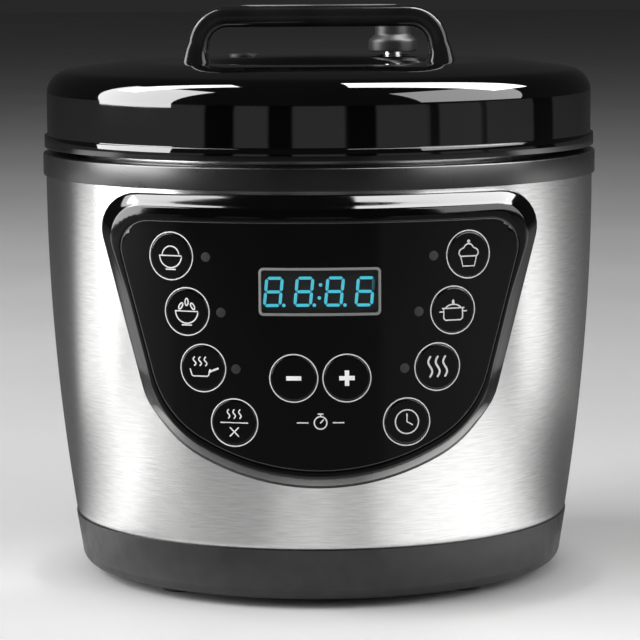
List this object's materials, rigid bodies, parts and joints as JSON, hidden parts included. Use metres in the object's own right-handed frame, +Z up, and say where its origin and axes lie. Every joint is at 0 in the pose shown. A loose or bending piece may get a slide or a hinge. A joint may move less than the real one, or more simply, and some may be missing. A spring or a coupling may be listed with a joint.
{
  "type": "electric pressure cooker",
  "caption": "Round countertop electric pressure cooker with a brushed steel body, a turn-to-lock black lid, a lift-out pot and a curved black key panel with a lit digit display.",
  "frame": {"origin": "centre of the footprint, on the surface the cooker stands on", "axes": "+Z up along the body's axis, control panel towards -Y, mains inlet and condensation cup towards +Y, +X to the right seen from the front"},
  "size_m": [0.284, 0.3012, 0.29],
  "materials": {
    "brushed_shell": "brushed stainless steel, grain running round the body",
    "satin_black": "satin black moulded plastic",
    "base_black": "fine-grained black plastic",
    "foot_rubber": "soft matte rubber",
    "zinc": "zinc-plated steel",
    "pressed_steel": "polished pressed stainless steel",
    "liner_steel": "dull drawn steel",
    "cast_aluminium": "machined cast aluminium",
    "element_sheath": "dark heat-stained sheath",
    "switch_brown": "moulded phenolic",
    "fuse_white": "white ceramic sleeve",
    "board_green": "solder-masked circuit board",
    "component_dark": "moulded component cases",
    "lead_red": "silicone-sleeved leads",
    "pin_brass": "plated brass blades",
    "bezel_gloss": "high-gloss black plastic",
    "fascia_gloss": "high-gloss black face",
    "key_gloss": "high-gloss black keys with printed marks",
    "frame_grey": "light grey trim line",
    "display_lens": "smoked clear window",
    "module_dark": "dark display face",
    "holder_white": "plain white plastic",
    "digit_cyan": "lit cyan light bars",
    "lamp_grey": "unlit smoked lamp caps",
    "pot_coating": "dark non-stick coating over aluminium",
    "silicone": "translucent white silicone",
    "lid_gloss": "high-gloss black plastic",
    "handle_black": "black plastic",
    "insert_steel": "brushed steel strip",
    "valve_black": "heat-resistant black plastic",
    "float_red": "red anodised pin",
    "cup_clear": "clear moulded plastic"
  },
  "bodies": {
    "root": {"outer_shell": "brushed_shell", "collar": "satin_black", "base_cover": "base_black", "rubber_feet": "foot_rubber", "base_screws": "zinc", "locking_ring": "pressed_steel", "inner_housing": "liner_steel", "heating_plate": "cast_aluminium", "heating_element": "element_sheath", "support_bracket": "liner_steel", "pressure_switch": "switch_brown", "thermal_fuse": "fuse_white", "power_board": "board_green", "power_components": "component_dark", "wiring_harness": "lead_red", "power_inlet": "base_black", "inlet_pins": "pin_brass", "cup_bracket": "base_black", "control_bezel": "bezel_gloss", "control_fascia": "fascia_gloss", "display_frame": "frame_grey", "display_window": "display_lens", "display_module": "module_dark", "display_holder": "holder_white", "display_segments": "digit_cyan", "indicator_lamps": "lamp_grey", "control_board": "board_green", "tact_switches": "component_dark", "panel_screws": "zinc", "sensor_spring": "zinc"},
    "inner_pot": {"inner_pot": "pot_coating"},
    "sealing_ring": {"sealing_ring": "silicone"},
    "lid": {"lid_cover": "lid_gloss", "lid_plate": "pressed_steel", "gasket_rack": "pressed_steel", "lid_handle": "handle_black", "handle_insert": "insert_steel", "lid_nut": "pressed_steel", "lid_screws": "zinc", "valve_pipe": "pressed_steel", "steam_shield": "pressed_steel", "float_seat": "base_black"},
    "release_valve": {"release_valve": "valve_black"},
    "float_valve": {"float_valve": "float_red", "float_seal": "silicone"},
    "condensation_cup": {"condensation_cup": "cup_clear"},
    "sensor_probe": {"sensor_probe": "cast_aluminium"},
    "rice_key": {"rice_key": "key_gloss"},
    "brown_rice_key": {"brown_rice_key": "key_gloss"},
    "saute_key": {"saute_key": "key_gloss"},
    "cancel_key": {"cancel_key": "key_gloss"},
    "minus_key": {"minus_key": "key_gloss"},
    "plus_key": {"plus_key": "key_gloss"},
    "dessert_key": {"dessert_key": "key_gloss"},
    "stew_key": {"stew_key": "key_gloss"},
    "steam_key": {"steam_key": "key_gloss"},
    "delay_key": {"delay_key": "key_gloss"}
  },
  "joints": [
    {"name": "pot_lift", "type": "slide", "parent": "root", "child": "inner_pot", "axis": [0, 0, 1], "range_m": [0, 0.19]},
    {"name": "lid_lift", "type": "slide", "parent": "inner_pot", "child": "sealing_ring", "axis": [0, 0, 1], "range_m": [0, 0.12]},
    {"name": "lid_turn", "type": "hinge", "parent": "sealing_ring", "child": "lid", "pos_m": [0, 0, 0.22], "axis": [0, 0, 1], "range_deg": [-30, 0]},
    {"name": "valve_turn", "type": "hinge", "parent": "lid", "child": "release_valve", "pos_m": [0.04, 0.066, 0.27], "axis": [0, 0, 1], "range_deg": [-45, 0]},
    {"name": "float_rise", "type": "slide", "parent": "lid", "child": "float_valve", "axis": [0, 0, 1], "range_m": [0, 0.005]},
    {"name": "cup_pull", "type": "slide", "parent": "root", "child": "condensation_cup", "axis": [0, 1, 0], "range_m": [0, 0.04]},
    {"name": "sensor_press", "type": "slide", "parent": "root", "child": "sensor_probe", "axis": [0, 0, -1], "range_m": [0, 0.002], "stiffness_N_per_m": 500, "springref_m": -0.004, "deforming": ["sensor_spring"]},
    {"name": "rice_key_press", "type": "slide", "parent": "root", "child": "rice_key", "axis": [0.4165, 0.9091, 0], "range_m": [0, 0.0006], "stiffness_N_per_m": 300, "springref_m": -0.001},
    {"name": "brown_rice_key_press", "type": "slide", "parent": "root", "child": "brown_rice_key", "axis": [0.3724, 0.9281, 0], "range_m": [0, 0.0006], "stiffness_N_per_m": 300, "springref_m": -0.001},
    {"name": "saute_key_press", "type": "slide", "parent": "root", "child": "saute_key", "axis": [0.3282, 0.9446, 0], "range_m": [0, 0.0006], "stiffness_N_per_m": 300, "springref_m": -0.001},
    {"name": "cancel_key_press", "type": "slide", "parent": "root", "child": "cancel_key", "axis": [0.2412, 0.9705, 0], "range_m": [0, 0.0006], "stiffness_N_per_m": 300, "springref_m": -0.001},
    {"name": "minus_key_press", "type": "slide", "parent": "root", "child": "minus_key", "axis": [0.0741, 0.9972, 0], "range_m": [0, 0.0006], "stiffness_N_per_m": 300, "springref_m": -0.001},
    {"name": "plus_key_press", "type": "slide", "parent": "root", "child": "plus_key", "axis": [-0.0741, 0.9972, 0], "range_m": [0, 0.0006], "stiffness_N_per_m": 300, "springref_m": -0.001},
    {"name": "dessert_key_press", "type": "slide", "parent": "root", "child": "dessert_key", "axis": [-0.4165, 0.9091, 0], "range_m": [0, 0.0006], "stiffness_N_per_m": 300, "springref_m": -0.001},
    {"name": "stew_key_press", "type": "slide", "parent": "root", "child": "stew_key", "axis": [-0.3724, 0.9281, 0], "range_m": [0, 0.0006], "stiffness_N_per_m": 300, "springref_m": -0.001},
    {"name": "steam_key_press", "type": "slide", "parent": "root", "child": "steam_key", "axis": [-0.3282, 0.9446, 0], "range_m": [0, 0.0006], "stiffness_N_per_m": 300, "springref_m": -0.001},
    {"name": "delay_key_press", "type": "slide", "parent": "root", "child": "delay_key", "axis": [-0.2412, 0.9705, 0], "range_m": [0, 0.0006], "stiffness_N_per_m": 300, "springref_m": -0.001}
  ]
}
